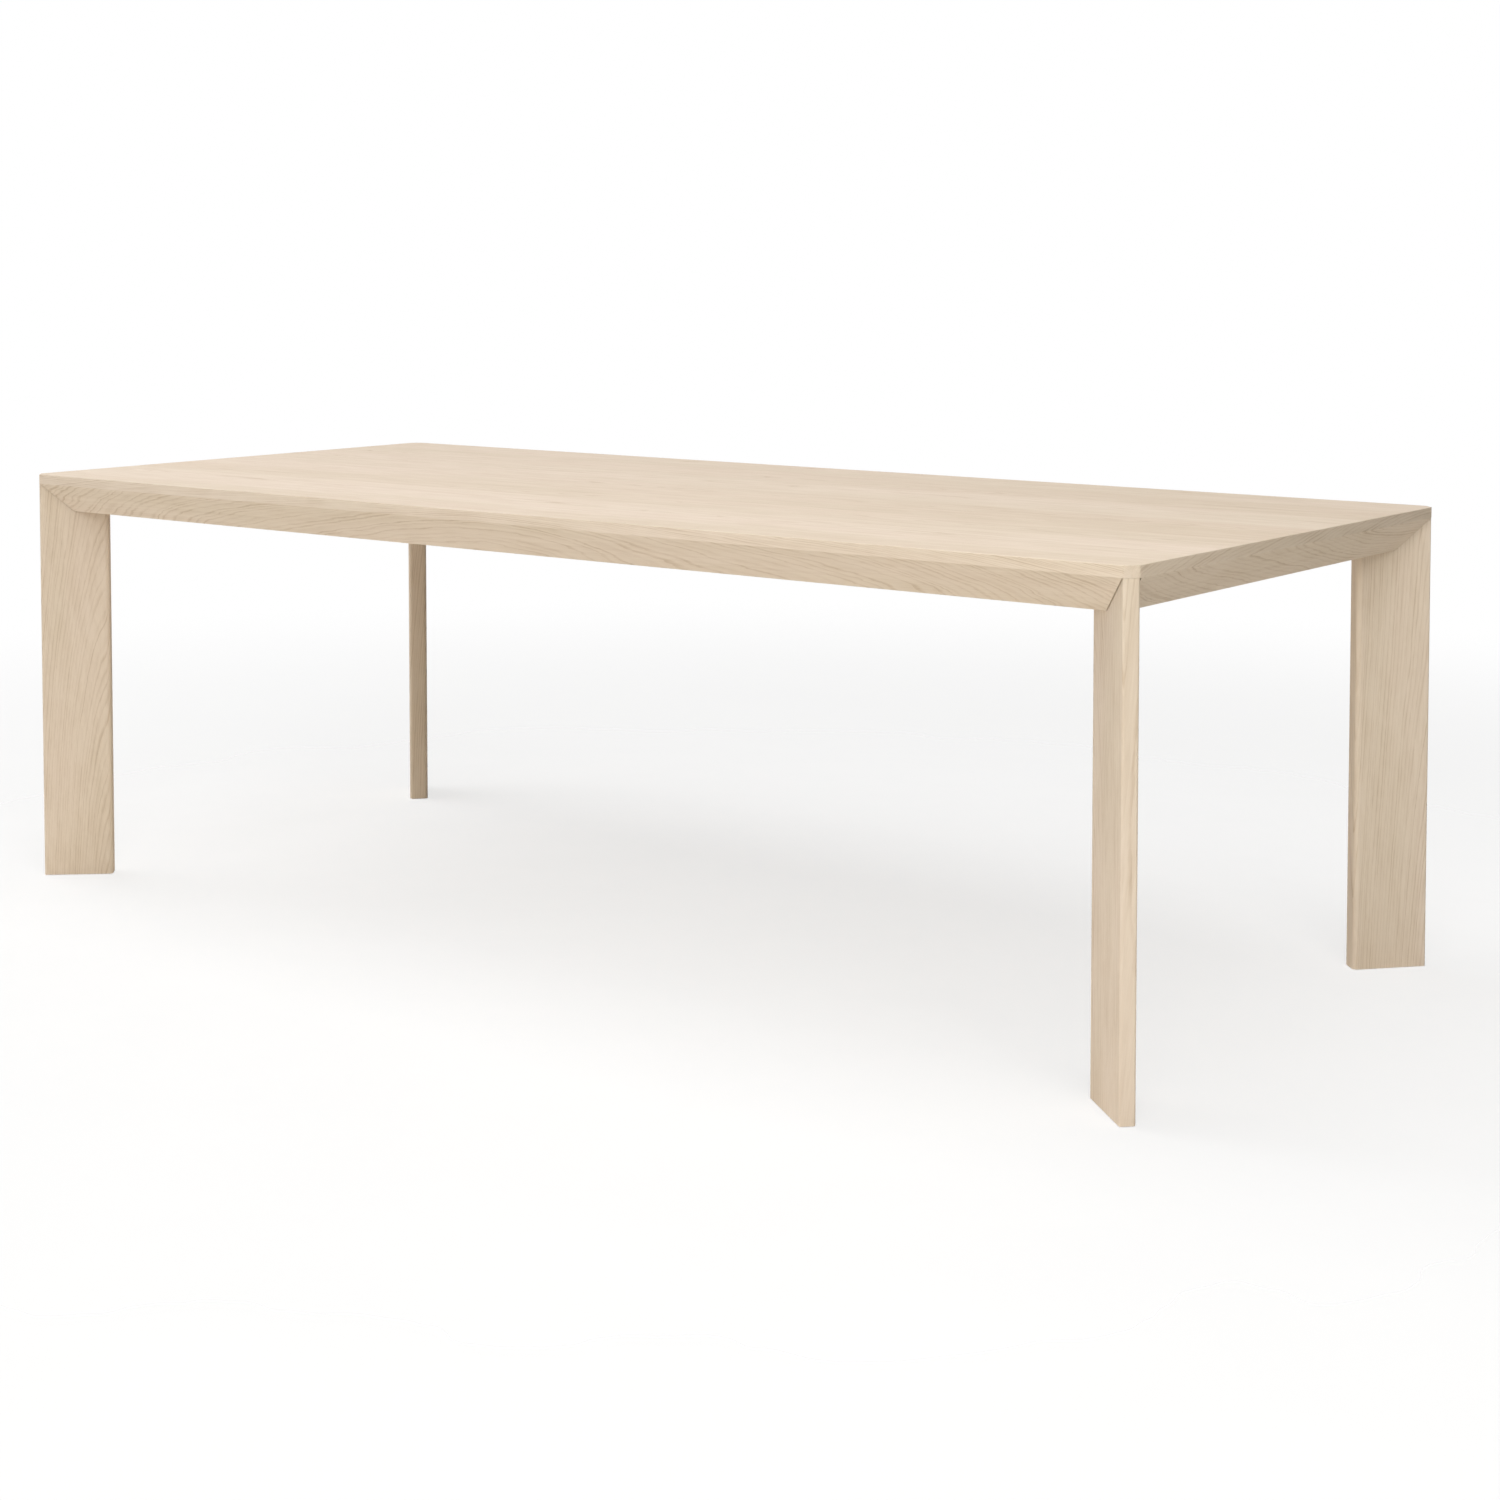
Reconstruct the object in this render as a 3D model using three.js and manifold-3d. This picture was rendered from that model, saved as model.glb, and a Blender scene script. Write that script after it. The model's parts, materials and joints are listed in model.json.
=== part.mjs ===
// A long table with a thin-edged top and four upright blade legs set on the diagonals of its corners.
// Millimetres, +Z up. The origin is on the floor under the middle of the top. +X runs along the
// length, and -Y is the front. The top is a veneered board framed by four solid rails, whose outer
// faces slope back under a thin vertical band. Each leg stands in a corner, housed between two rails,
// and is drawn up to a corner block by two bolts.
import * as THREE from "three";
import { mergeVertices } from "three/addons/utils/BufferGeometryUtils.js";
import Module from "manifold-3d";

const wasm = await Module();
wasm.setup();

// Overall size
const LENGTH = 2300;
const WIDTH = 1000;
const HEIGHT = 750;

// Clearances: between neighbours, on a glue line, on each side of a mitre, and where a rail meets a leg
const GAP = 0.3;
const GLUE = 0.2;
const MITRE_GAP = 0.1;
const SHADOW_GAP = 1.5;

// Rails: a band, then a slope that runs inward and down to a flat underside
const BAND = 17;
const RAIL_DEPTH = 68.5;
const RAIL_SLOPE_IN = 41;
const RAIL_WIDTH = 70;
const CORNER_RADIUS = 8;
const GROOVE = { height: 6.6, depth: 8.3, z: HEIGHT - 8.5 };

// Board between the rails
const VENEER = 1;
const TONGUE = { height: 6, depth: 8 };
const LEAF_SEAMS = [379, 225, 55, -129, -239, -430];
const LEAF_GAP = 0.15;

// Legs: a wedge in plan, thin at the corner and thick towards the middle of the table
const LEG_REACH = 125;
const LEG_OUTER = 23;
const LEG_INNER = 38;
const LEG_OUTER_RADIUS = 4;
const LEG_INNER_RADIUS = 8;
const GLIDE = { length: 84, width: 16, height: 4, proud: 1, u: 66 };

// Corner fixing
const BLOCK = { thickness: 28, height: 44 };
const PLATE = { thickness: 3, width: 30, height: 40 };
const BOLT = { radius: 4, length: 60, headRadius: 6.5, headHeight: 8, socket: 6, socketDepth: 4 };
const BOLT_SPACING = 22;
const INSERT = { radius: 6.3, length: 25 };
const SPLINE = { start: 15, end: 70, width: 24, thickness: 4 };

// Battens under the board
const BATTEN = { width: 60, height: 32, places: [-540, 0, 540], chamfer: 4 };
const SCREW = { radius: 2.2, headRadius: 4.2, headHeight: 3, length: 40, sunk: 2, y: 300 };

// Heights and distances that follow
const TOP_UNDER = HEIGHT - BAND;
const RAIL_TOP = HEIGHT - VENEER - GLUE;
const RAIL_BOTTOM = HEIGHT - RAIL_DEPTH;
const LEG_TOP = TOP_UNDER - GAP;
const BLOCK_Z = LEG_TOP - BLOCK.height / 2;
const CORNER_CUT = LEG_OUTER / 2;
const BOARD_X = LENGTH / 2 - RAIL_WIDTH;
const BOARD_Y = WIDTH / 2 - RAIL_WIDTH;
const INNER_CORNER_U = RAIL_WIDTH * Math.SQRT2 - CORNER_CUT;
const BLOCK_U = LEG_REACH + GAP;
const PLATE_U = BLOCK_U + BLOCK.thickness + GAP;
const BOLT_U = PLATE_U + PLATE.thickness + GAP;
const CORNERS = [
  { name: "front_left", sx: -1, sy: -1 },
  { name: "front_right", sx: 1, sy: -1 },
  { name: "back_right", sx: 1, sy: 1 },
  { name: "back_left", sx: -1, sy: 1 },
];

const ROUND_SIDES = 16;
const ARC_STEPS = 8;

const finish = (color, roughness, metalness = 0) => ({ color, roughness, metalness });
const FINISH = {
  face: finish(0xe6d6c3, 0.55),
  rail: finish(0xd3c2aa, 0.55),
  leg: finish(0xd0bea5, 0.55),
  core: finish(0xb99a72, 0.85),
  backing: finish(0xdccbb4, 0.65),
  block: finish(0xc9a57c, 0.7),
  spline: finish(0xbf9d70, 0.8),
  zinc: finish(0xb4b7ba, 0.35, 1),
  nylon: finish(0xe4e2dc, 0.5),
};

const table = new THREE.Group();

function addPart(parent, name, geometry, look) {
  const mesh = new THREE.Mesh(geometry, new THREE.MeshStandardMaterial(look));
  mesh.name = name;
  parent.add(mesh);
  return mesh;
}

// Solids ------------------------------------------------------------------------------------

function toSolid(geometry) {
  const bare = geometry.clone();
  bare.deleteAttribute("normal");
  bare.deleteAttribute("uv");
  const merged = mergeVertices(bare, 1e-4);
  return new wasm.Manifold(new wasm.Mesh({
    numProp: 3,
    vertProperties: Float32Array.from(merged.attributes.position.array),
    triVerts: Uint32Array.from(merged.index.array),
  }));
}

function toGeometry(solid) {
  const mesh = solid.getMesh();
  const geometry = new THREE.BufferGeometry();
  geometry.setAttribute("position", new THREE.BufferAttribute(Float32Array.from(mesh.vertProperties), 3));
  geometry.setIndex(new THREE.BufferAttribute(Uint32Array.from(mesh.triVerts), 1));
  geometry.computeVertexNormals();
  return geometry;
}

function cut(geometry, cutters) {
  let solid = toSolid(geometry);
  for (const cutter of cutters) solid = solid.subtract(toSolid(cutter));
  return toGeometry(solid);
}

function intersection(first, second) {
  return toGeometry(toSolid(first).intersect(toSolid(second)));
}

function box(x0, x1, y0, y1, z0, z1) {
  const geometry = new THREE.BoxGeometry(x1 - x0, y1 - y0, z1 - z0);
  return geometry.translate((x0 + x1) / 2, (y0 + y1) / 2, (z0 + z1) / 2);
}

// A flat outline in plan, raised from z0 to z1
function prism(shape, z0, z1) {
  const options = { depth: z1 - z0, bevelEnabled: false, curveSegments: ARC_STEPS };
  return new THREE.ExtrudeGeometry(shape, options).translate(0, 0, z0);
}

function polygon(points) {
  return new THREE.Shape(points.map(([x, y]) => new THREE.Vector2(x, y)));
}

// A convex outline, anticlockwise, whose corners are rounded. Each corner is [x, y, radius].
function roundedOutline(corners) {
  const shape = new THREE.Shape();
  const point = ([x, y]) => new THREE.Vector2(x, y);
  corners.forEach((corner, i) => {
    const radius = corner[2];
    const before = point(corners.at(i - 1)).sub(point(corner)).normalize();
    const after = point(corners[(i + 1) % corners.length]).sub(point(corner)).normalize();
    const half = Math.acos(before.dot(after)) / 2;
    const middle = before.clone().add(after).setLength(radius / Math.sin(half)).add(point(corner));
    const from = Math.atan2(before.x, -before.y);
    const to = Math.atan2(-after.x, after.y);
    shape.absarc(middle.x, middle.y, radius, from, to, false);
  });
  return shape;
}

// A solid turned about Z from [radius, z] points that start and end on the axis
function turned(points) {
  const profile = points.map(([r, z]) => new THREE.Vector2(r, z));
  return new THREE.LatheGeometry(profile, ROUND_SIDES).rotateX(Math.PI / 2);
}

function rod(radius, z0, z1) {
  return turned([[0, z0], [radius, z0], [radius, z1], [0, z1]]);
}

// Corner frames ------------------------------------------------------------------------------
// In a corner's own frame, u runs inward along the diagonal from the cut corner, and v across it.

function cornerMatrix({ sx, sy }) {
  const inset = CORNER_CUT / Math.SQRT2;
  const turn = new THREE.Matrix4().makeRotationZ(Math.atan2(-sy, -sx));
  const place = new THREE.Matrix4().makeTranslation(
    sx * (LENGTH / 2 - inset), sy * (WIDTH / 2 - inset), 0);
  return place.multiply(turn);
}

function cornerGroup(corner) {
  const group = new THREE.Group();
  group.applyMatrix4(cornerMatrix(corner));
  table.add(group);
  return group;
}

// Half the thickness of a leg at a distance u from the cut corner
const halfThickness = (u) => (LEG_OUTER + ((LEG_INNER - LEG_OUTER) * u) / LEG_REACH) / 2;

// Rails ---------------------------------------------------------------------------------------

// The space that a leg takes below the band, with its clearance, running out past the corner
function legHousing(corner) {
  const outer = halfThickness(-RAIL_SLOPE_IN) + SHADOW_GAP;
  const inner = halfThickness(LEG_REACH) + SHADOW_GAP;
  const outline = polygon([
    [-RAIL_SLOPE_IN, -outer], [LEG_REACH + GAP, -inner], [LEG_REACH + GAP, inner], [-RAIL_SLOPE_IN, outer],
  ]);
  return prism(outline, RAIL_BOTTOM - 1, TOP_UNDER).applyMatrix4(cornerMatrix(corner));
}

// The top in plan: its corners are cut at 45 degrees, and the cuts run into the sides on arcs
function topOutline() {
  const x = LENGTH / 2;
  const y = WIDTH / 2;
  const side = CORNER_CUT * Math.SQRT2;
  return roundedOutline([
    [-x + side, -y], [x - side, -y], [x, -y + side], [x, y - side],
    [x - side, y], [-x + side, y], [-x, y - side], [-x, -y + side],
  ].map(([px, py]) => [px, py, CORNER_RADIUS]));
}

function splineBox(clearance) {
  return box(
    SPLINE.start - clearance, SPLINE.end + clearance,
    -SPLINE.width / 2 - clearance, SPLINE.width / 2 + clearance,
    GROOVE.z - SPLINE.thickness / 2 - clearance, GROOVE.z + SPLINE.thickness / 2 + clearance);
}

// A rail in its own frame: length along X, outer face at Y = 0, inner face at Y = RAIL_WIDTH
function railBlank(length) {
  const grooveLow = GROOVE.z - GROOVE.height / 2;
  const grooveHigh = GROOVE.z + GROOVE.height / 2;
  const grooveIn = RAIL_WIDTH - GROOVE.depth;
  const section = polygon([
    [RAIL_SLOPE_IN, RAIL_BOTTOM], [RAIL_WIDTH, RAIL_BOTTOM],
    [RAIL_WIDTH, grooveLow], [grooveIn, grooveLow], [grooveIn, grooveHigh], [RAIL_WIDTH, grooveHigh],
    [RAIL_WIDTH, RAIL_TOP], [0, RAIL_TOP], [0, TOP_UNDER],
  ]);
  const alongX = new THREE.Matrix4().makeBasis(
    new THREE.Vector3(0, 1, 0), new THREE.Vector3(0, 0, 1), new THREE.Vector3(1, 0, 0));
  const bar = new THREE.ExtrudeGeometry(section, { depth: length, bevelEnabled: false });
  bar.translate(0, 0, -length / 2).applyMatrix4(alongX);
  const half = length / 2 - MITRE_GAP * Math.SQRT2;
  const mitred = polygon([
    [-half - 1, -1], [half + 1, -1],
    [half - RAIL_WIDTH - 1, RAIL_WIDTH + 1], [-half + RAIL_WIDTH + 1, RAIL_WIDTH + 1],
  ]);
  return intersection(bar, prism(mitred, RAIL_BOTTOM - 1, HEIGHT));
}

function addRail(name, length, turn, x, y, ends) {
  const blank = railBlank(length).rotateZ(turn).translate(x, y, 0);
  const rail = intersection(blank, prism(topOutline(), RAIL_BOTTOM - 1, HEIGHT));
  const cutters = ends.flatMap((corner) => [
    legHousing(corner), splineBox(GAP).applyMatrix4(cornerMatrix(corner)),
  ]);
  addPart(table, name, cut(rail, cutters), FINISH.rail);
}

function addRails() {
  const [frontLeft, frontRight, backRight, backLeft] = CORNERS;
  addRail("front_rail", LENGTH, 0, 0, -WIDTH / 2, [frontLeft, frontRight]);
  addRail("back_rail", LENGTH, Math.PI, 0, WIDTH / 2, [backLeft, backRight]);
  addRail("right_rail", WIDTH, Math.PI / 2, LENGTH / 2, 0, [frontRight, backRight]);
  addRail("left_rail", WIDTH, -Math.PI / 2, -LENGTH / 2, 0, [frontLeft, backLeft]);
}

// Board ---------------------------------------------------------------------------------------

// The two screws of each batten, as points in plan
const SCREW_PLACES = BATTEN.places.flatMap((x) => [[x, -SCREW.y], [x, SCREW.y]]);
const BATTEN_TOP = TOP_UNDER - GAP;
const BATTEN_BOTTOM = BATTEN_TOP - BATTEN.height;
const SCREW_HEAD_Z = BATTEN_BOTTOM + SCREW.sunk;

// A countersunk screw pointing up, or with a clearance the hole that it goes in
function screwBody(clearance) {
  const { radius, headRadius, headHeight, length } = SCREW;
  const shank = radius + clearance;
  const head = headRadius + clearance;
  const tip = SCREW_HEAD_Z + length + clearance;
  const face = clearance > 0 ? BATTEN_BOTTOM - 1 : SCREW_HEAD_Z;
  const rim = clearance > 0 ? [[0, face], [head, face]] : [[0, face]];
  return turned([
    ...rim, [head, SCREW_HEAD_Z], [shank, SCREW_HEAD_Z + headHeight], [shank, tip - 2 * radius], [0, tip],
  ]);
}

const screwHoles = () => SCREW_PLACES.map(([x, y]) => screwBody(GAP).translate(x, y, 0));

function addBoard() {
  const coreLow = TOP_UNDER + VENEER + GLUE;
  const core = box(-BOARD_X + GLUE, BOARD_X - GLUE, -BOARD_Y + GLUE, BOARD_Y - GLUE, coreLow, RAIL_TOP);
  const tongue = box(
    -BOARD_X - TONGUE.depth, BOARD_X + TONGUE.depth, -BOARD_Y - TONGUE.depth, BOARD_Y + TONGUE.depth,
    GROOVE.z - TONGUE.height / 2, GROOVE.z + TONGUE.height / 2);
  const board = toGeometry(toSolid(core).add(toSolid(tongue)));
  addPart(table, "core_board", cut(board, screwHoles()), FINISH.core);
  const backing = box(
    -BOARD_X + GAP, BOARD_X - GAP, -BOARD_Y + GAP, BOARD_Y - GAP, TOP_UNDER, TOP_UNDER + VENEER);
  addPart(table, "backing_veneer", cut(backing, screwHoles()), FINISH.backing);
}

// Long leaves of veneer side by side, over the board and the rails alike, from back to front
function addFaceLeaves() {
  const sheet = prism(topOutline(), HEIGHT - VENEER, HEIGHT);
  const reach = LENGTH / 2 + 1;
  const edges = [WIDTH / 2 + 1, ...LEAF_SEAMS, -WIDTH / 2 - 1];
  for (let i = 0; i + 1 < edges.length; i += 1) {
    const low = edges[i + 1] + LEAF_GAP / 2;
    const high = edges[i] - LEAF_GAP / 2;
    const leaf = intersection(sheet, box(-reach, reach, low, high, HEIGHT - VENEER - 1, HEIGHT + 1));
    addPart(table, `face_leaf_${i + 1}`, leaf, FINISH.face);
  }
}

function addBattens() {
  const halfLength = BOARD_Y - GAP;
  const { width, chamfer } = BATTEN;
  BATTEN.places.forEach((x, i) => {
    const section = polygon([
      [-width / 2 + chamfer, BATTEN_BOTTOM], [width / 2 - chamfer, BATTEN_BOTTOM],
      [width / 2, BATTEN_BOTTOM + chamfer], [width / 2, BATTEN_TOP],
      [-width / 2, BATTEN_TOP], [-width / 2, BATTEN_BOTTOM + chamfer],
    ]);
    const bar = new THREE.ExtrudeGeometry(section, { depth: 2 * halfLength, bevelEnabled: false });
    bar.rotateX(Math.PI / 2).translate(x, halfLength, 0);
    addPart(table, `batten_${i + 1}`, cut(bar, screwHoles()), FINISH.block);
  });
}

function addBattenScrews() {
  const slot = { length: 4.4, width: 0.9, depth: 2 };
  const recess = [0, Math.PI / 2].map((turn) => box(
    -slot.length / 2, slot.length / 2, -slot.width / 2, slot.width / 2,
    SCREW_HEAD_Z - 1, SCREW_HEAD_Z + slot.depth).rotateZ(turn));
  SCREW_PLACES.forEach(([x, y], i) => {
    const screw = addPart(table, `batten_screw_${i + 1}`, cut(screwBody(0), recess), FINISH.zinc);
    screw.position.set(x, y, 0);
  });
}

// Legs and corner fixings -----------------------------------------------------------------------

// Turns a piece that was made about Z so that it lies along u, at a height z
const alongU = (geometry, z) => geometry.rotateY(Math.PI / 2).translate(0, 0, z);
const boltHeights = [BLOCK_Z - BOLT_SPACING / 2, BLOCK_Z + BOLT_SPACING / 2];

function glideShape(clearance) {
  const radius = GLIDE.width / 2 + clearance;
  const reach = GLIDE.length / 2 - GLIDE.width / 2;
  const shape = new THREE.Shape();
  shape.absarc(GLIDE.u + reach, 0, radius, -Math.PI / 2, Math.PI / 2, false);
  shape.absarc(GLIDE.u - reach, 0, radius, Math.PI / 2, (3 * Math.PI) / 2, false);
  return shape;
}

function addLeg(group, name) {
  const outline = roundedOutline([
    [0, -LEG_OUTER / 2, LEG_OUTER_RADIUS], [LEG_REACH, -LEG_INNER / 2, LEG_INNER_RADIUS],
    [LEG_REACH, LEG_INNER / 2, LEG_INNER_RADIUS], [0, LEG_OUTER / 2, LEG_OUTER_RADIUS],
  ]);
  const insertEnd = LEG_REACH - INSERT.length - 2 * GAP;
  const boltEnd = BOLT_U - BOLT.length - 2;
  const holes = boltHeights.map((z) => alongU(turned([
    [0, boltEnd], [BOLT.radius + GAP, boltEnd], [BOLT.radius + GAP, insertEnd],
    [INSERT.radius + GAP, insertEnd], [INSERT.radius + GAP, LEG_REACH + 1], [0, LEG_REACH + 1],
  ]), z));
  const pocket = prism(glideShape(GAP), 0, GLIDE.height + GAP);
  addPart(group, name, cut(prism(outline, GLIDE.proud, LEG_TOP), [...holes, pocket]), FINISH.leg);
}

function addInserts(group, name) {
  const start = LEG_REACH - GAP - INSERT.length;
  const end = LEG_REACH - GAP;
  const bore = BOLT.radius + GAP;
  boltHeights.forEach((z, i) => {
    const sleeve = turned([
      [bore, start], [INSERT.radius - 1, start], [INSERT.radius, start + 1],
      [INSERT.radius, end], [bore, end], [bore, start],
    ]);
    addPart(group, `${name}_${i + 1}`, alongU(sleeve, z), FINISH.zinc);
  });
}

// A block that bridges the corner behind the leg, its ends mitred against the two rails
function addCornerBlock(group, name) {
  const near = BLOCK_U - INNER_CORNER_U - GAP * Math.SQRT2;
  const far = near + BLOCK.thickness;
  const outline = polygon([
    [BLOCK_U, -near], [BLOCK_U + BLOCK.thickness, -far], [BLOCK_U + BLOCK.thickness, far], [BLOCK_U, near],
  ]);
  const holes = boltHeights.map((z) => alongU(rod(BOLT.radius + 2 * GAP, 0, 2 * LEG_REACH), z));
  const block = prism(outline, LEG_TOP - BLOCK.height, LEG_TOP);
  addPart(group, name, cut(block, holes), FINISH.block);
}

function addBoltPlate(group, name) {
  const halfWidth = PLATE.width / 2;
  const halfHeight = PLATE.height / 2;
  const plate = roundedOutline([
    [-halfHeight, -halfWidth, 4], [halfHeight, -halfWidth, 4],
    [halfHeight, halfWidth, 4], [-halfHeight, halfWidth, 4],
  ]);
  const sheet = prism(plate, PLATE_U, PLATE_U + PLATE.thickness);
  const hole = rod(BOLT.radius + GAP, PLATE_U - 1, BOLT_U);
  const holes = boltHeights.map((z) => hole.clone().translate(BLOCK_Z - z, 0, 0));
  addPart(group, name, alongU(cut(sheet, holes), BLOCK_Z), FINISH.zinc);
}

function addBolts(group, name) {
  const { radius, length, headRadius, headHeight, socket, socketDepth } = BOLT;
  const headEnd = BOLT_U + headHeight;
  const start = BOLT_U - length;
  const body = turned([
    [0, start], [radius - 1, start], [radius, start + 1], [radius, BOLT_U], [headRadius, BOLT_U],
    [headRadius, headEnd - 0.8], [headRadius - 0.8, headEnd], [0, headEnd],
  ]);
  const cornerRadius = socket / Math.sqrt(3);
  const hexagon = new THREE.CylinderGeometry(cornerRadius, cornerRadius, 2 * socketDepth, 6);
  const key = hexagon.rotateX(Math.PI / 2).translate(0, 0, headEnd);
  boltHeights.forEach((z, i) => {
    addPart(group, `${name}_${i + 1}`, alongU(cut(body, [key]), z), FINISH.zinc);
  });
}

function addCorner(corner) {
  const group = cornerGroup(corner);
  addLeg(group, `${corner.name}_leg`);
  addPart(group, `${corner.name}_glide`, prism(glideShape(0), 0, GLIDE.height), FINISH.nylon);
  addInserts(group, `${corner.name}_insert`);
  addCornerBlock(group, `${corner.name}_block`);
  addBoltPlate(group, `${corner.name}_bolt_plate`);
  addBolts(group, `${corner.name}_bolt`);
  addPart(group, `${corner.name}_mitre_spline`, splineBox(0), FINISH.spline);
}

addRails();
addBoard();
addFaceLeaves();
addBattens();
addBattenScrews();
CORNERS.forEach(addCorner);

export default table;
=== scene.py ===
"""A long table in white-oiled ash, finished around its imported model.

Lengths are in metres, +Z up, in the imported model's own frame: +X along the table, -Y its front. Every
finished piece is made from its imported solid, so it keeps that solid's place and size. Its grain is a
solid pattern of rings round a pith line, in coordinates that each piece carries as a mesh attribute.
"""
import json
import math

import bmesh
import bpy
from mathutils import Matrix, Vector


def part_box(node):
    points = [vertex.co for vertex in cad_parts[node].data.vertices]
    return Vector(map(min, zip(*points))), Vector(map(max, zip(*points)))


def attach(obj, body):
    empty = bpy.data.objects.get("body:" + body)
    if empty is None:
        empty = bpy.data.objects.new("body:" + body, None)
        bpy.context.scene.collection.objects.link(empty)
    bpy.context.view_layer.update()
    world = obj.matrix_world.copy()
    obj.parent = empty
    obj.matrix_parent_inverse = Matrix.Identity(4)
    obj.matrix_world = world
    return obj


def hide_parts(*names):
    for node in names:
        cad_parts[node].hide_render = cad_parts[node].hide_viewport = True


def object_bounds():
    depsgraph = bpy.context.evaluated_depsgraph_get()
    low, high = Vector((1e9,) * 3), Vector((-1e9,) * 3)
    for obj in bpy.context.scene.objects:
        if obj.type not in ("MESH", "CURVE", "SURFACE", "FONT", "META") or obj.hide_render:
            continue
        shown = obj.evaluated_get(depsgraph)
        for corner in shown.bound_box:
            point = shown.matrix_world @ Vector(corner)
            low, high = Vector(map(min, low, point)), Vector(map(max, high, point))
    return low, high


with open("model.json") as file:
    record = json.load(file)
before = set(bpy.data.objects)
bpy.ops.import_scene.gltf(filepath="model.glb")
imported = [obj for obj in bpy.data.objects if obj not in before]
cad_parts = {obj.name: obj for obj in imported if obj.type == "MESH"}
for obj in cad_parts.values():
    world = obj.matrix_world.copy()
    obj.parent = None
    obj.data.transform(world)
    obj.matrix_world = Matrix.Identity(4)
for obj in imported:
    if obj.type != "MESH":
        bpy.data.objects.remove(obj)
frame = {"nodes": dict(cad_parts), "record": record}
cad_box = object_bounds()

NODES = frame["nodes"]
X, Y, Z = Vector((1, 0, 0)), Vector((0, 1, 0)), Vector((0, 0, 1))
MM = 0.001

# The outline and the levels of the table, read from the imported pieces
LOW, HIGH = cad_box
LEAF_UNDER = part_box("face_leaf_1")[0].z
BAND_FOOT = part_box("backing_veneer")[0].z
RAIL_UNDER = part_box("front_rail")[0].z
RAIL_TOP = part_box("front_rail")[1].z
LEG_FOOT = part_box("front_left_leg")[0].z

# Camera: lens in millimetres, place in metres, angles in degrees
SENSOR_WIDTH = 36
LENS = 61.52
SHIFT_RIGHT = 0.0066
SHIFT_UP = -0.24
CAMERA_PLACE = (2.7707, -3.4573, 1.1592)
LOOKING_DOWN = 3.065
TURNED_LEFT = 37.516

# Softened edges: width of the rounding and its steps
ARRIS = (0.9 * MM, 4)
BAND_EDGE = (1.6 * MM, 4)
RAIL_FOOT_EDGE = (3.0 * MM, 5)
BATTEN_EDGE = (1.2 * MM, 3)
LEG_FOOT_EDGE = (1.3 * MM, 3)

# Closing up: what each leaf gains at a seam, and what stays between a rail and the leaf on it
SEAM_CLOSED_BY = 0.07 * MM
UNDER_LEAF = 0.02 * MM

# Telling vertices, edges and faces apart. The corner's distance is along X plus along Y
WELD = 0.005 * MM
LEVEL_WITHIN = 0.05 * MM
SIDE_WITHIN = 0.3 * MM
CORNER_WITHIN = 25 * MM
BATTEN_LENGTHWISE = 100 * MM
FLAT_BELOW = math.radians(0.2)
EDGE_ABOVE = math.radians(15)
SMOOTH_BELOW = math.radians(34)
DIAGONAL_WITHIN = 0.5
UPRIGHT_BELOW = 0.5
SLANTED = (0.2, 0.8)
LEVEL_ABOVE = 0.99

# Ash: the colours between and in its grain lines, and the slow shift of hue from patch to patch
PALE = (0.815, 0.692, 0.566, 1)
DARK = (0.632, 0.497, 0.367, 1)
PATCH_HUES = ((1.02, 1.012, 1.02, 1), (0.98, 0.98, 0.962, 1))

# Each ash look: how strongly its rings show, and how wide they are
ASH_LOOKS = {
    "ash_veneer": (1.05, 3.2 * MM),
    "ash_edge_veneer": (1.2, 3.2 * MM),
    "ash_rail": (1.3, 2.3 * MM),
    "ash_leg": (1.35, 4.6 * MM),
    "ash_backing": (0.7, 3.2 * MM),
}

# Ash noises: cells per metre along and across the grain, detail and roughness
WANDER = ((0.9, 2, 2), 1, 0.5)
RIPPLE = ((7, 35, 35), 4, 0.6)
FIBRE = ((6, 700, 700), 3, 0.6)
STREAK = ((1.8, 150, 150), 3, 0.6)
MOTTLE = ((9, 45, 45), 3, 0.6)
PATCH = ((1.2, 10, 10), 2, 0.5)
VESSELS = ((90, 2600, 2600), 1, 0.5)
NOISE_MIDDLE = (0.5, 0.5, 0.5)
NOISE_RANGE = (0.3, 0.7)

# How far the trunk wanders and ripples, and how unevenly its rings are spaced, in rings
WANDER_BY = (0, 0.06, 0.06)
RIPPLE_BY = (0, 0.005, 0.005)
SPACING_CHANGES = 0.4
SPACING_UNEVEN = 1.8

# Across one ring, from 0 to 1: the early line comes and goes, then the late wood darkens
EARLY_COMES = (0.0, 0.08)
EARLY_GOES = (0.14, 0.48)
LATE_COMES = (0.6, 1.0)
LATE_SHARE = 0.3

# How strong a line is: from year to year, through the mottle, and on the rails' cut corners
YEAR_SHARE = (0.3, 1.2)
MOTTLED_SHARE = (0.35, 1.0)
CALM = 0.25

# Pores: where the noise makes one, and how many there are outside the early line
VESSEL_EDGE = (0.56, 0.7)
PORES_ELSEWHERE = 0.15

# How far each pattern takes the colour from pale to dark
LINES_DARKEN = 0.62
STREAKS_DARKEN = (-0.03, 0.21)
MOTTLE_DARKENS = (-0.08, 0.12)
FIBRE_DARKENS = (-0.13, 0.13)
PORES_DARKEN = 0.16

# Red follows a change of tone less than green does, and blue follows it more
RED_FOLLOWS = 0.8
BLUE_FOLLOWS = 1.4

# The ash's surface: how fibres stand up and pores and early wood sink, and how rough each part is
FIBRES_STAND = 0.25
PORES_SINK = 0.9
EARLY_SINKS = 0.18
ASH_BUMP = (0.35, 0.06 * MM)
ASH_ROUGHNESS = (0.50, 0.60)
PORES_ROUGHEN = 0.2
ASH_SPECULAR = 0.35

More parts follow.
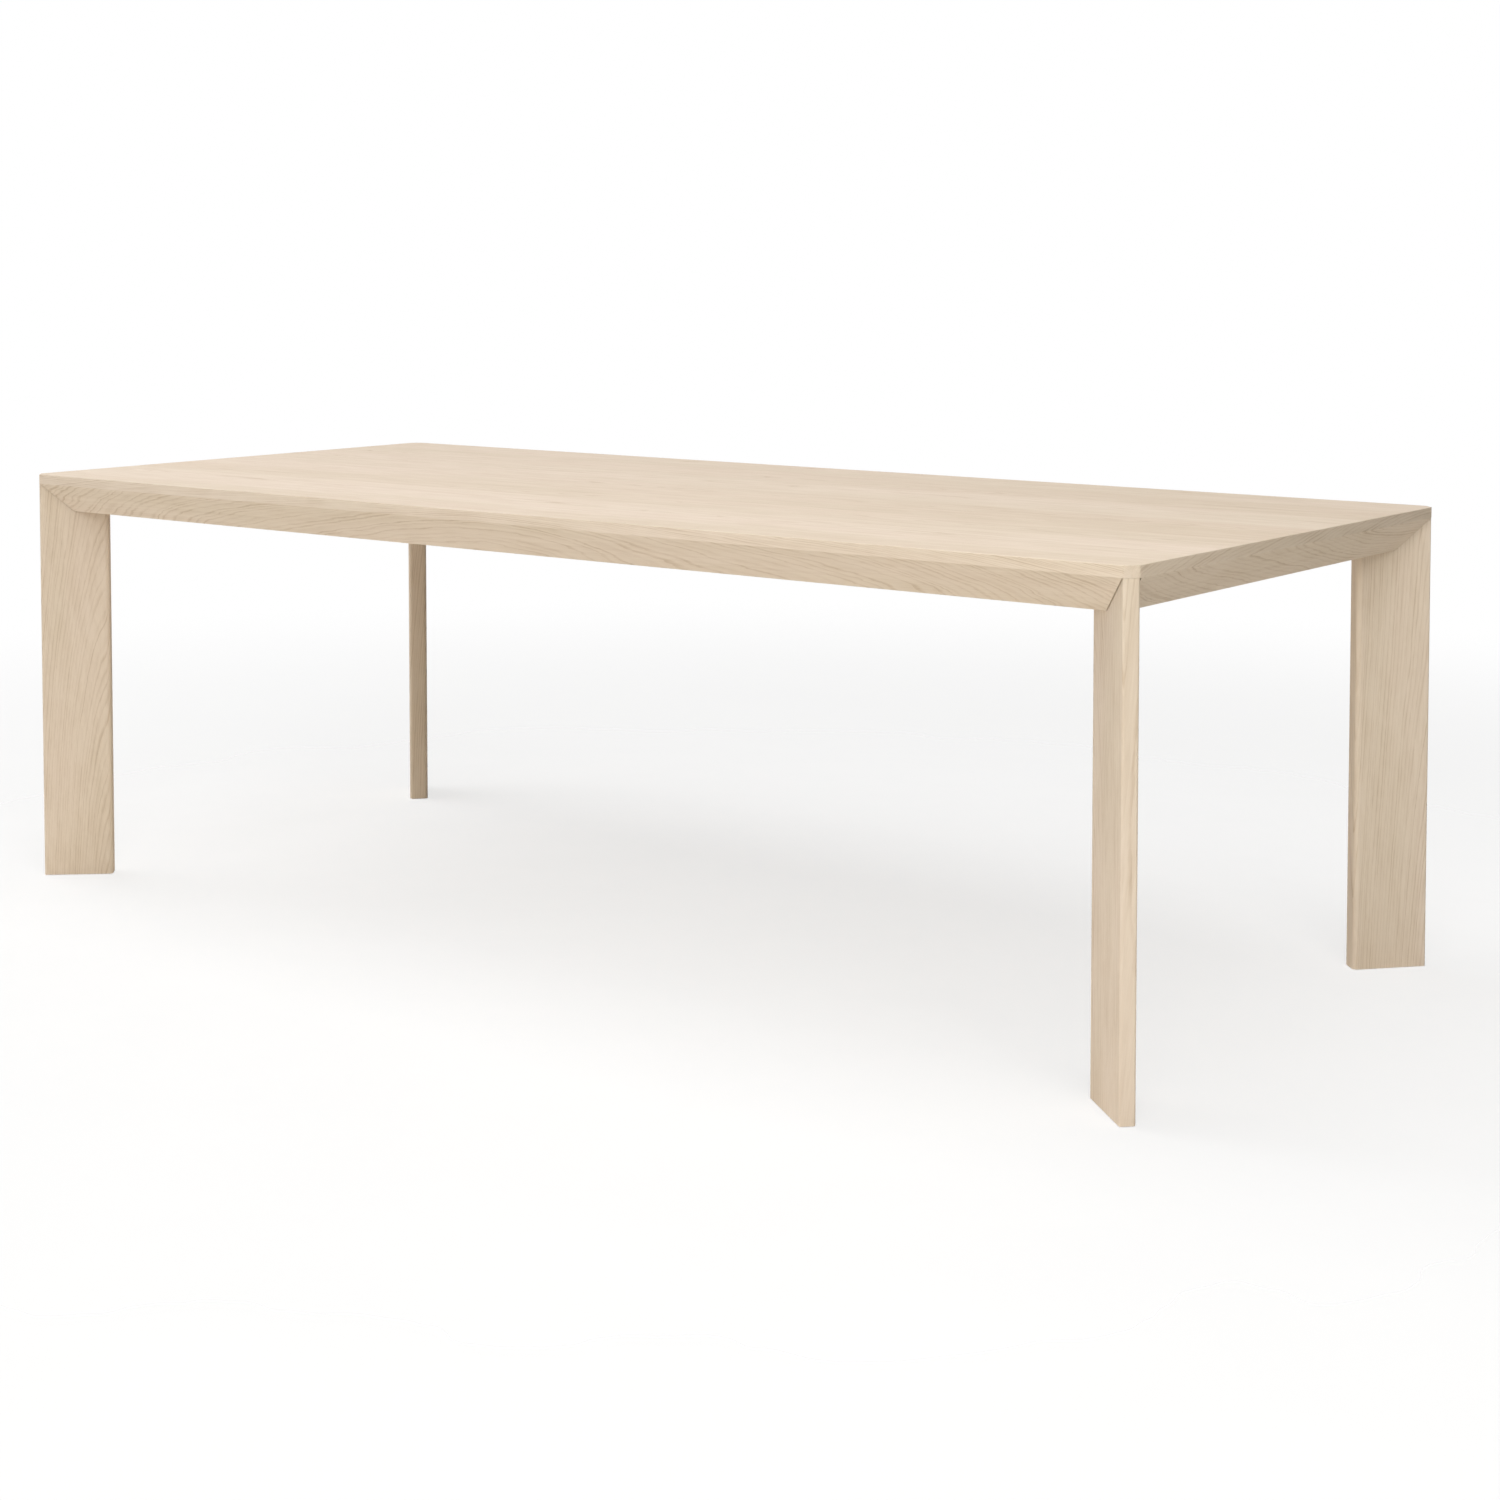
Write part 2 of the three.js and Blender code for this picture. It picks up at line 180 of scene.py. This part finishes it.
# Where the pith lines of the inner pieces run: a batten's and a block's from its middle, and the
# backing's from the middle of its underside. Pairs are aside and up
BATTEN_PITH = (0.05, -0.1)
BLOCK_PITH = Vector((0.02, 0.06, -0.1))
BACKING_PITH = (0.7, -0.3)

# Floor: its size, where its shadows are lightened and where it fades out, by distance from its middle
FLOOR_RADIUS = 6.0
FLOOR_SIDES = 96
LIGHTENED_OVER = (1.6, 4.2)
LIGHTENED_BY = (0.72, 1.0)
FADES_OVER = (3.0, 5.5)
FLOOR_SEEN = ((0.87, 0.865, 0.855, 1), (0.89, 0.885, 0.875, 1))
FLOOR_REFLECTED = (0.87, 0.845, 0.78, 1)

# Light
WHITE = (1, 1, 1, 1)
NEUTRAL_LIGHT = (1, 1, 1)
WARM_LIGHT = (0.99, 0.98, 0.935)
SURROUND_STRENGTH = 0.62
SOFTBOX_SIZE = 3.0
SOFTBOX_DISTANCE = 5.5
LIT_POINT = Vector((0, 0, 0.5))

# Softboxes: azimuth and elevation in degrees, power in watts, colour
SOFTBOXES = {
    "left_softbox": (-80, 50, 118, NEUTRAL_LIGHT),
    "low_left_softbox": (-40, 8, 36, NEUTRAL_LIGHT),
    "low_right_softbox": (45, 25, 106, WARM_LIGHT),
    "high_right_softbox": (45, 50, 92, NEUTRAL_LIGHT),
    "overhead_softbox": (0, 90, 97, NEUTRAL_LIGHT),
}


# Camera --------------------------------------------------------------------------------------------

def add_camera():
    """A long lens at sitting height, off the front right corner, with the view shifted down."""
    data = bpy.data.cameras.new("camera")
    data.sensor_width = SENSOR_WIDTH
    data.lens = LENS
    data.shift_x = SHIFT_RIGHT
    data.shift_y = SHIFT_UP
    camera = bpy.data.objects.new("camera", data)
    camera.location = CAMERA_PLACE
    camera.rotation_euler = (math.radians(90 - LOOKING_DOWN), 0, math.radians(TURNED_LEFT))
    bpy.context.scene.collection.objects.link(camera)
    bpy.context.scene.camera = camera


# Shader graphs -------------------------------------------------------------------------------------

class Graph:
    """The nodes of a material or a world. An input given a socket is linked, and any other is set."""

    # Sockets of a Mix node that mixes colours
    MIX_FACTOR = 0
    MIX_FIRST = 6
    MIX_SECOND = 7
    MIX_RESULT = 2

    def __init__(self, owner):
        owner.use_nodes = True
        self.owner = owner
        self.tree = owner.node_tree
        self.tree.nodes.clear()

    def add(self, kind, inputs=None, **settings):
        node = self.tree.nodes.new("ShaderNode" + kind)
        for key, value in settings.items():
            setattr(node, key, value)
        for key, value in (inputs or {}).items():
            if isinstance(value, bpy.types.NodeSocket):
                self.tree.links.new(value, node.inputs[key])
            else:
                node.inputs[key].default_value = value
        return node

    def math(self, operation, *values):
        return self.add("Math", dict(enumerate(values)), operation=operation).outputs[0]

    def vector(self, operation, *values):
        node = self.add("VectorMath", dict(enumerate(values)), operation=operation)
        return node.outputs["Value" if operation in ("LENGTH", "DOT_PRODUCT") else "Vector"]

    def attribute(self, name, output="Fac"):
        return self.add("Attribute", attribute_name=name).outputs[output]

    def place(self):
        """The shaded point in its object's own coordinates."""
        return self.add("TexCoord").outputs["Object"]

    def noise(self, vector, stretch, detail=2.0, roughness=0.5, output="Fac"):
        """Noise on a vector whose axes are first multiplied by stretch, in cells per metre."""
        scaled = self.vector("MULTIPLY", vector, stretch)
        inputs = {"Vector": scaled, "Scale": 1.0, "Detail": detail, "Roughness": roughness}
        return self.add("TexNoise", inputs).outputs[output]

    def ramp(self, value, low, high, to_low=0.0, to_high=1.0, smooth=True):
        ends = {"From Min": low, "From Max": high, "To Min": to_low, "To Max": to_high}
        style = "SMOOTHSTEP" if smooth else "LINEAR"
        node = self.add("MapRange", {"Value": value, **ends}, interpolation_type=style)
        return node.outputs["Result"]

    def spread(self, noise, low=0.0, high=1.0, smooth=True):
        """The range that most of a noise lies in, taken to low and high."""
        return self.ramp(noise, *NOISE_RANGE, low, high, smooth)

    def mix(self, factor, first, second, blend="MIX"):
        inputs = {self.MIX_FACTOR: factor, self.MIX_FIRST: first, self.MIX_SECOND: second}
        return self.add("Mix", inputs, data_type="RGBA", blend_type=blend).outputs[self.MIX_RESULT]

    def bump(self, height, strength, depth):
        inputs = {"Strength": strength, "Distance": depth, "Height": height}
        return self.add("Bump", inputs).outputs["Normal"]

    def output(self, shader, kind="OutputMaterial"):
        """Sends a shader to the output, and returns the material or world."""
        self.add(kind, {"Surface": shader.outputs[0]})
        return self.owner

    def surface(self, **inputs):
        named = {key.replace("_", " "): value for key, value in inputs.items()}
        return self.output(self.add("BsdfPrincipled", named))


def material_graph(name):
    return Graph(bpy.data.materials.new(name))


# Materials -----------------------------------------------------------------------------------------

def ash(name, figure, ring):
    """White-oiled ash: ring lines of open pores, slow changes of tone, fine fibre and a soft sheen."""
    g = material_graph(name)
    grain = g.attribute("grain", "Vector")
    tone = g.attribute("tone")
    bow = g.attribute("bow")
    lines = g.attribute("lines")

    # The trunk isn't straight: it bows, wanders and ripples along its length
    along = g.add("SeparateXYZ", {0: grain}).outputs["X"]
    rise = g.math("MULTIPLY", g.math("MULTIPLY", along, along), bow)
    wander = g.vector("SUBTRACT", g.noise(grain, *WANDER, "Color"), NOISE_MIDDLE)
    ripple = g.vector("SUBTRACT", g.noise(grain, *RIPPLE, "Color"), NOISE_MIDDLE)
    bent = g.vector("ADD", grain, g.add("CombineXYZ", {"Z": rise}).outputs[0])
    bent = g.vector("ADD", bent, g.vector("MULTIPLY", wander, WANDER_BY))
    bent = g.vector("ADD", bent, g.vector("MULTIPLY", ripple, RIPPLE_BY))

    # Rings are counted outward from the pith line
    radius = g.vector("LENGTH", g.vector("MULTIPLY", bent, (0, 1, 1)))
    turns = g.math("DIVIDE", radius, ring)
    spacing = {"W": turns, "Scale": SPACING_CHANGES, "Detail": 2.0}
    uneven = g.add("TexNoise", spacing, noise_dimensions="1D").outputs["Fac"]
    turns = g.math("ADD", turns, g.math("MULTIPLY", uneven, SPACING_UNEVEN))
    phase = g.math("FRACT", turns)
    early = g.math("MULTIPLY", g.ramp(phase, *EARLY_COMES), g.ramp(phase, *EARLY_GOES, 1.0, 0.0))
    late = g.ramp(phase, *LATE_COMES, 0.0, LATE_SHARE)
    year = g.add("TexWhiteNoise", {"W": g.math("FLOOR", turns)}, noise_dimensions="1D").outputs["Value"]

    fibre = g.noise(grain, *FIBRE)
    streak = g.noise(grain, *STREAK)
    mottle = g.noise(grain, *MOTTLE)
    patch = g.noise(grain, *PATCH)
    vessels = g.ramp(g.noise(grain, *VESSELS), *VESSEL_EDGE)
    pores = g.math("MULTIPLY", vessels, g.math("ADD", early, PORES_ELSEWHERE))

    strength = g.ramp(year, 0.0, 1.0, *YEAR_SHARE, smooth=False)
    line = g.math("MULTIPLY", g.math("ADD", early, late), strength)
    amount = g.math("MULTIPLY", line, g.spread(mottle, *MOTTLED_SHARE))
    amount = g.math("MULTIPLY", g.math("MULTIPLY", amount, lines), LINES_DARKEN * figure)
    amount = g.math("ADD", amount, g.spread(streak, *STREAKS_DARKEN, smooth=False))
    amount = g.math("ADD", amount, g.spread(mottle, *MOTTLE_DARKENS, smooth=False))
    amount = g.math("ADD", amount, g.spread(fibre, *FIBRE_DARKENS, smooth=False))
    amount = g.math("ADD", amount, g.math("MULTIPLY", pores, PORES_DARKEN))
    colour = g.mix(amount, PALE, DARK)
    colour = g.mix(1.0, colour, g.mix(g.spread(patch), *PATCH_HUES), "MULTIPLY")
    red = g.math("POWER", tone, RED_FOLLOWS)
    blue = g.math("POWER", tone, BLUE_FOLLOWS)
    toned = g.add("CombineColor", {0: red, 1: tone, 2: blue}).outputs[0]
    colour = g.mix(1.0, colour, toned, "MULTIPLY")

    raised = g.math("MULTIPLY", fibre, FIBRES_STAND)
    height = g.math("SUBTRACT", raised, g.math("MULTIPLY", pores, PORES_SINK))
    height = g.math("SUBTRACT", height, g.math("MULTIPLY", early, EARLY_SINKS))
    normal = g.bump(height, *ASH_BUMP)
    rough = g.spread(streak, *ASH_ROUGHNESS, smooth=False)
    rough = g.math("ADD", rough, g.math("MULTIPLY", pores, PORES_ROUGHEN))
    return g.surface(Base_Color=colour, Roughness=rough, Normal=normal, Specular_IOR_Level=ASH_SPECULAR)


def beech(name):
    """Unfinished beech: short dark flecks on an even pinkish tan."""
    light, dark, brown = (0.60, 0.40, 0.25, 1), (0.46, 0.29, 0.17, 1), (0.25, 0.13, 0.07, 1)
    g = material_graph(name)
    grain = g.attribute("grain", "Vector")
    fleck = g.ramp(g.noise(grain, (60, 900, 900), 1), 0.58, 0.72)
    band = g.noise(grain, (1.5, 90, 90), 3)
    colour = g.mix(g.math("MULTIPLY", fleck, 0.5), g.mix(g.spread(band), light, dark), brown)
    rough = g.spread(band, 0.6, 0.75, smooth=False)
    return g.surface(Base_Color=colour, Roughness=rough, Normal=g.bump(band, 0.4, 0.05 * MM))


def particle_board(name):
    """Pressed chips, each of its own shade from pale to brown."""
    pale, brown = (0.52, 0.36, 0.20, 1), (0.27, 0.16, 0.08, 1)
    g = material_graph(name)
    place = g.place()
    chips = g.add("TexVoronoi", {"Vector": g.vector("MULTIPLY", place, (180, 420, 900)), "Scale": 1.0})
    shade = g.add("SeparateColor", {0: chips.outputs["Color"]}).outputs[0]
    dust = g.noise(place, (1500, 1500, 1500), 2)
    colour = g.mix(shade, pale, brown)
    rough = g.spread(dust, 0.8, 0.95)
    return g.surface(Base_Color=colour, Roughness=rough, Normal=g.bump(dust, 0.5, 0.2 * MM))


def plywood(name):
    """Thin plies seen from their edges, alternately pale and dark."""
    pale, dark = (0.56, 0.41, 0.25, 1), (0.38, 0.24, 0.13, 1)
    plies_per_metre = 1250
    g = material_graph(name)
    place = g.place()
    up = g.add("SeparateXYZ", {0: place}).outputs["Z"]
    ply = g.math("PINGPONG", g.math("MULTIPLY", up, plies_per_metre), 1)
    fibre = g.noise(place, (300, 300, 3000), 2)
    colour = g.mix(g.ramp(ply, 0.4, 0.6), pale, dark)
    rough = g.spread(fibre, 0.7, 0.85)
    return g.surface(Base_Color=colour, Roughness=rough, Normal=g.bump(fibre, 0.4, 0.1 * MM))


def zinc(name):
    """Bright zinc plate with faint bloom and handling marks."""
    bright, dull = (0.62, 0.63, 0.65, 1), (0.50, 0.52, 0.55, 1)
    g = material_graph(name)
    place = g.place()
    bloom = g.noise(place, (160, 160, 160), 4, 0.6)
    scratch = g.noise(place, (2500, 2500, 300), 2)
    colour = g.mix(g.ramp(bloom, 0.35, 0.65), bright, dull)
    rough = g.spread(bloom, 0.28, 0.5)
    normal = g.bump(scratch, 0.2, 0.03 * MM)
    return g.surface(Base_Color=colour, Metallic=1.0, Roughness=rough, Normal=normal)


def nylon(name):
    """Moulded off-white nylon, scuffed where it meets the floor."""
    clean, scuffed = (0.76, 0.74, 0.70, 1), (0.55, 0.52, 0.47, 1)
    g = material_graph(name)
    scuff = g.noise(g.place(), (220, 220, 60), 4, 0.65)
    colour = g.mix(g.ramp(scuff, 0.5, 0.75), clean, scuffed)
    rough = g.spread(scuff, 0.4, 0.6)
    return g.surface(Base_Color=colour, Roughness=rough, Normal=g.bump(scuff, 0.3, 0.05 * MM))


# Shapes --------------------------------------------------------------------------------------------

def solid_of(node):
    """A node's solid with its triangles joined back into flat faces."""
    mesh = bmesh.new()
    mesh.from_mesh(NODES[node].data)
    bmesh.ops.remove_doubles(mesh, verts=mesh.verts, dist=WELD)
    bmesh.ops.dissolve_limit(mesh, angle_limit=FLAT_BELOW, verts=mesh.verts, edges=mesh.edges)
    return mesh


def round_edges(mesh, chosen, width_and_steps):
    width, steps = width_and_steps
    edges = [edge for edge in mesh.edges if chosen(edge)]
    bmesh.ops.bevel(mesh, geom=edges, offset=width, offset_type="OFFSET", segments=steps, profile=0.5,
                    affect="EDGES", clamp_overlap=True)


def level(edge, height):
    """Whether an edge lies at that height."""
    return all(abs(vertex.co.z - height) < LEVEL_WITHIN for vertex in edge.verts)


def outward(edge):
    """Whether an edge lies on the table's outline, at a side or a cut corner."""
    middle = (edge.verts[0].co + edge.verts[1].co) / 2
    at_end = abs(abs(middle.x) - HIGH.x) < SIDE_WITHIN
    at_long_side = abs(abs(middle.y) - HIGH.y) < SIDE_WITHIN
    at_corner = abs(middle.x) + abs(middle.y) > HIGH.x + HIGH.y - CORNER_WITHIN
    return at_end or at_long_side or at_corner


def convex(edge):
    return edge.is_convex and edge.calc_face_angle(0) > EDGE_ABOVE


def top_edge(edge):
    """Whether an edge is one of the top's outline."""
    return level(edge, HIGH.z) and outward(edge)


def band_edge(edge):
    """Whether an edge is one where a rail's band meets its slope."""
    return level(edge, BAND_FOOT) and outward(edge) and convex(edge)


def slope_edge(edge):
    """Whether an edge is the one where a rail's slope meets its underside."""
    least, most = SLANTED
    slanted = any(least < abs(face.normal.z) < most for face in edge.link_faces)
    under = any(abs(face.normal.z) > LEVEL_ABOVE for face in edge.link_faces)
    return level(edge, RAIL_UNDER) and slanted and under


def leg_foot_edge(edge):
    """Whether an edge is one round a leg's foot."""
    return level(edge, LEG_FOOT) and convex(edge)


def batten_edge(edge):
    """Whether an edge is one of the long, level ones of a batten."""
    rise = abs(edge.verts[0].co.z - edge.verts[1].co.z)
    return rise < WELD and edge.calc_length() > BATTEN_LENGTHWISE and convex(edge)


def on_cut_corner(polygon):
    """Whether a face looks out along a diagonal of the table."""
    normal = polygon.normal
    return abs(abs(normal.x) - abs(normal.y)) < DIAGONAL_WITHIN and abs(normal.z) < UPRIGHT_BELOW


def grain_frame(along, pith, up):
    """The matrix from the row frame to grain coordinates: x along the pith line, z the way it bows."""
    axis = Vector(along).normalized()
    across = Vector(up).cross(axis).normalized()
    turn = Matrix((axis, across, axis.cross(across)))
    return turn.to_4x4() @ Matrix.Translation(-Vector(pith))


def add_piece(node, mesh, material, grain, tones=(1.0, 1.0), bow=0.0, lines=1.0, calm=False):
    """Turns a finished mesh into its node's piece. Tones are those at the table's -X and +X ends."""
    bmesh.ops.recalc_face_normals(mesh, faces=mesh.faces)
    for edge in mesh.edges:
        edge.smooth = edge.calc_face_angle(0) < SMOOTH_BELOW
    data = bpy.data.meshes.new(node + "_fine")
    mesh.to_mesh(data)
    mesh.free()
    for polygon in data.polygons:
        polygon.use_smooth = True
    coordinates = [value for vertex in data.vertices for value in grain @ vertex.co]
    shares = [(vertex.co.x - LOW.x) / (HIGH.x - LOW.x) for vertex in data.vertices]
    tone = [tones[0] + (tones[1] - tones[0]) * share for share in shares]
    marked = [CALM if calm and on_cut_corner(polygon) else lines for polygon in data.polygons]
    data.attributes.new("grain", "FLOAT_VECTOR", "POINT").data.foreach_set("vector", coordinates)
    data.attributes.new("tone", "FLOAT", "POINT").data.foreach_set("value", tone)
    data.attributes.new("bow", "FLOAT", "POINT").data.foreach_set("value", [bow] * len(data.vertices))
    data.attributes.new("lines", "FLOAT", "FACE").data.foreach_set("value", marked)
    data.materials.append(material)
    piece = bpy.data.objects.new(node + "_fine", data)
    bpy.context.scene.collection.objects.link(piece)
    weighted = piece.modifiers.new("normals", "WEIGHTED_NORMAL")
    weighted.keep_sharp = True
    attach(piece, "root")
    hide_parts(node)


# Top, rails and legs -------------------------------------------------------------------------------

def add_leaves(material, edge_material):
    """The veneer leaves: softened along the table's outline, and closed up at their seams."""
    # Tones at the left and right ends, and the pith's apex, offset, depth and tilt under each leaf
    leaves = [
        ((1.00, 1.02), (-0.6, 0.02, 0.06, 0.030)),
        ((1.00, 0.955), (0.5, -0.03, 0.08, -0.024)),
        ((1.00, 1.035), (-0.3, 0.01, 0.07, 0.020)),
        ((1.02, 0.94), (0.2, 0.04, 0.06, -0.030)),
        ((0.96, 0.99), (-0.5, -0.02, 0.08, 0.026)),
        ((1.02, 1.02), (0.4, 0.01, 0.07, -0.022)),
        ((0.985, 0.98), (0.1, 0.10, 0.05, 0.035)),
    ]
    skew = 0.3
    for number, (tones, (apex, offset, depth, tilt)) in enumerate(leaves, start=1):
        node = f"face_leaf_{number}"
        low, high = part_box(node)
        mesh = solid_of(node)
        round_edges(mesh, top_edge, ARRIS)
        for vertex in mesh.verts:
            if number > 1 and abs(vertex.co.y - high.y) < WELD:
                vertex.co.y += SEAM_CLOSED_BY
            if number < len(leaves) and abs(vertex.co.y - low.y) < WELD:
                vertex.co.y -= SEAM_CLOSED_BY
        pith = (apex, (low.y + high.y) / 2 + offset, HIGH.z - depth)
        look = material if number < len(leaves) else edge_material
        add_piece(node, mesh, look, grain_frame((1, skew * tilt, tilt), pith, Z), tones)


def add_rails(material):
    """The rails: a vertical band over a slope, with a rounded foot. Their heart side faces outward."""
    # Outward side, apex along the rail, heart-to-face direction (inward, up), its distance, bow, tones,
    # and how strongly the ring lines show
    rails = {
        "front_rail": (-Y, (0.0, 0.60, 0.80), 0.5, 0.050, (1.01, 1.005), 1.1),
        "back_rail": (Y, (0.3, 0.62, 0.78), 0.4, -0.040, (1.0, 1.0), 1.05),
        "right_rail": (X, (0.5, 0.94, 0.35), 0.6, 0.066, (1.0, 1.0), 1.05),
        "left_rail": (-X, (-0.3, 0.93, 0.37), 0.5, -0.050, (1.0, 1.0), 1.0),
    }
    lift = LEAF_UNDER - UNDER_LEAF - RAIL_TOP
    for node, (out, (apex, inward, upward), distance, bow, tones, lines) in rails.items():
        mesh = solid_of(node)
        for vertex in mesh.verts:
            if abs(vertex.co.z - RAIL_TOP) < WELD:
                vertex.co.z += lift
        round_edges(mesh, band_edge, BAND_EDGE)
        round_edges(mesh, slope_edge, RAIL_FOOT_EDGE)
        along = Vector((abs(out.y), abs(out.x), 0))
        from_heart = Z * upward - out * inward
        face = along * apex + Vector((out.x * HIGH.x, out.y * HIGH.y, BAND_FOOT))
        grain = grain_frame(along, face - from_heart * distance, from_heart)
        add_piece(node, mesh, material, grain, tones, bow, lines, calm=True)


def add_legs(material):
    """The legs: grain that leans a little off the vertical, and an eased edge round the foot."""
    # Signs of the corner's X and Y; where the heart line runs, from the corner inward and sideways;
    # how it leans inward and sideways; tone
    legs = {
        "front_left_leg": ((-1, -1), (0.15, 0.05), (0.02, 0.14), 0.97),
        "front_right_leg": ((1, -1), (0.16, -0.05), (-0.03, -0.10), 1.0),
        "back_right_leg": ((1, 1), (-0.02, -0.06), (0.0, -0.08), 1.03),
        "back_left_leg": ((-1, 1), (0.15, 0.05), (0.03, 0.08), 0.97),
    }
    for node, ((sx, sy), (reach, aside), (lean_in, lean_aside), tone) in legs.items():
        mesh = solid_of(node)
        round_edges(mesh, leg_foot_edge, LEG_FOOT_EDGE)
        inward = Vector((-sx, -sy, 0)).normalized()
        sideways = Vector((-inward.y, inward.x, 0))
        corner = Vector((sx * HIGH.x, sy * HIGH.y, HIGH.z / 2))
        pith = corner + inward * reach + sideways * aside
        along = Z + inward * lean_in + sideways * lean_aside
        add_piece(node, mesh, material, grain_frame(along, pith, sideways), (tone, tone))


# Hidden pieces -------------------------------------------------------------------------------------

def add_underside(looks):
    """The battens and blocks under the board, and its backing veneer."""
    wood = looks["hidden_hardwood"]
    for node in sorted(NODES):
        low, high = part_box(node)
        middle = (low + high) / 2
        if node.startswith("batten_") and "screw" not in node:
            mesh = solid_of(node)
            round_edges(mesh, batten_edge, BATTEN_EDGE)
            aside, above = BATTEN_PITH
            pith = (middle.x + aside, 0, middle.z + above)
            add_piece(node, mesh, wood, grain_frame(Y, pith, Z))
        if node.endswith("_block"):
            across = Vector((-middle.y, middle.x, 0))
            grain = grain_frame(across, middle + BLOCK_PITH, Z)
            add_piece(node, solid_of(node), wood, grain)
    aside, above = BACKING_PITH
    grain = grain_frame(X, (0, aside, BAND_FOOT + above), Z)
    backing = solid_of("backing_veneer")
    add_piece("backing_veneer", backing, looks["backing_veneer"], grain)


def dress_the_rest(looks):
    """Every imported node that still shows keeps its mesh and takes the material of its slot."""
    slots = {row["node"]: row["material_slot"] for row in frame["record"]["subparts"]}
    for node, item in NODES.items():
        if item.hide_render:
            continue
        item.data.materials.clear()
        item.data.materials.append(looks[slots[node]])


# Room ----------------------------------------------------------------------------------------------

def add_floor():
    """A pale floor that fades out into the white surround. The camera sees its shadows lightened."""
    mesh = bmesh.new()
    bmesh.ops.create_circle(mesh, cap_ends=True, segments=FLOOR_SIDES, radius=FLOOR_RADIUS)
    data = bpy.data.meshes.new("floor")
    mesh.to_mesh(data)
    mesh.free()
    floor = bpy.data.objects.new("floor", data)
    bpy.context.scene.collection.objects.link(floor)
    g = material_graph("floor_paint")
    place = g.place()
    cloud = g.spread(g.noise(place, (3, 3, 3), 3))
    camera_ray = g.add("LightPath").outputs["Is Camera Ray"]
    shade = g.mix(camera_ray, FLOOR_REFLECTED, g.mix(cloud, *FLOOR_SEEN))
    paint = g.add("BsdfDiffuse", {"Color": shade})
    clear = g.add("BsdfTransparent")
    reach = g.vector("LENGTH", place)
    lightened = g.math("MULTIPLY", camera_ray, g.ramp(reach, *LIGHTENED_OVER, *LIGHTENED_BY))
    fade = g.math("MAXIMUM", lightened, g.ramp(reach, *FADES_OVER))
    both = g.add("MixShader", {0: fade, 1: paint.outputs[0], 2: clear.outputs[0]})
    data.materials.append(g.output(both))


def add_surround():
    """A surround that the camera sees as white, and that lights the table softly from the left."""
    g = Graph(bpy.data.worlds.new("surround"))
    towards = g.add("TexCoord").outputs["Generated"]
    left = g.vector("DOT_PRODUCT", towards, (-SURROUND_STRENGTH, 0, 0))
    lit = g.add("Background", {"Color": WHITE, "Strength": g.math("MAXIMUM", left, 0)})
    seen = g.add("Background", {"Color": WHITE})
    camera_ray = g.add("LightPath").outputs["Is Camera Ray"]
    both = g.add("MixShader", {0: camera_ray, 1: lit.outputs[0], 2: seen.outputs[0]})
    bpy.context.scene.world = g.output(both, "OutputWorld")


def add_softbox(name, azimuth, elevation, power, colour):
    """A square softbox aimed at the table. Azimuth 0 is the front, and 90 the right end."""
    data = bpy.data.lights.new(name, "AREA")
    data.size = SOFTBOX_SIZE
    data.energy = power
    data.color = colour
    turn, rise = math.radians(azimuth), math.radians(elevation)
    level_share = math.cos(rise)
    towards = Vector((math.sin(turn) * level_share, -math.cos(turn) * level_share, math.sin(rise)))
    light = bpy.data.objects.new(name, data)
    light.location = LIT_POINT + towards * SOFTBOX_DISTANCE
    light.rotation_euler = towards.to_track_quat("Z", "Y").to_euler()
    bpy.context.scene.collection.objects.link(light)


def main():
    add_camera()
    woods = {name: ash(name, figure, ring) for name, (figure, ring) in ASH_LOOKS.items()}
    looks = {
        "face_veneer": woods["ash_veneer"],
        "ash_rail": woods["ash_rail"],
        "ash_leg": woods["ash_leg"],
        "backing_veneer": woods["ash_backing"],
        "core_board": particle_board("particle_board"),
        "hidden_hardwood": beech("beech"),
        "plywood": plywood("plywood"),
        "zinc_steel": zinc("zinc"),
        "nylon": nylon("nylon"),
    }
    add_leaves(looks["face_veneer"], woods["ash_edge_veneer"])
    add_rails(looks["ash_rail"])
    add_legs(looks["ash_leg"])
    add_underside(looks)
    dress_the_rest(looks)
    add_floor()
    add_surround()
    for name, look in SOFTBOXES.items():
        add_softbox(name, *look)
    bpy.context.scene.view_settings.view_transform = "Standard"


main()
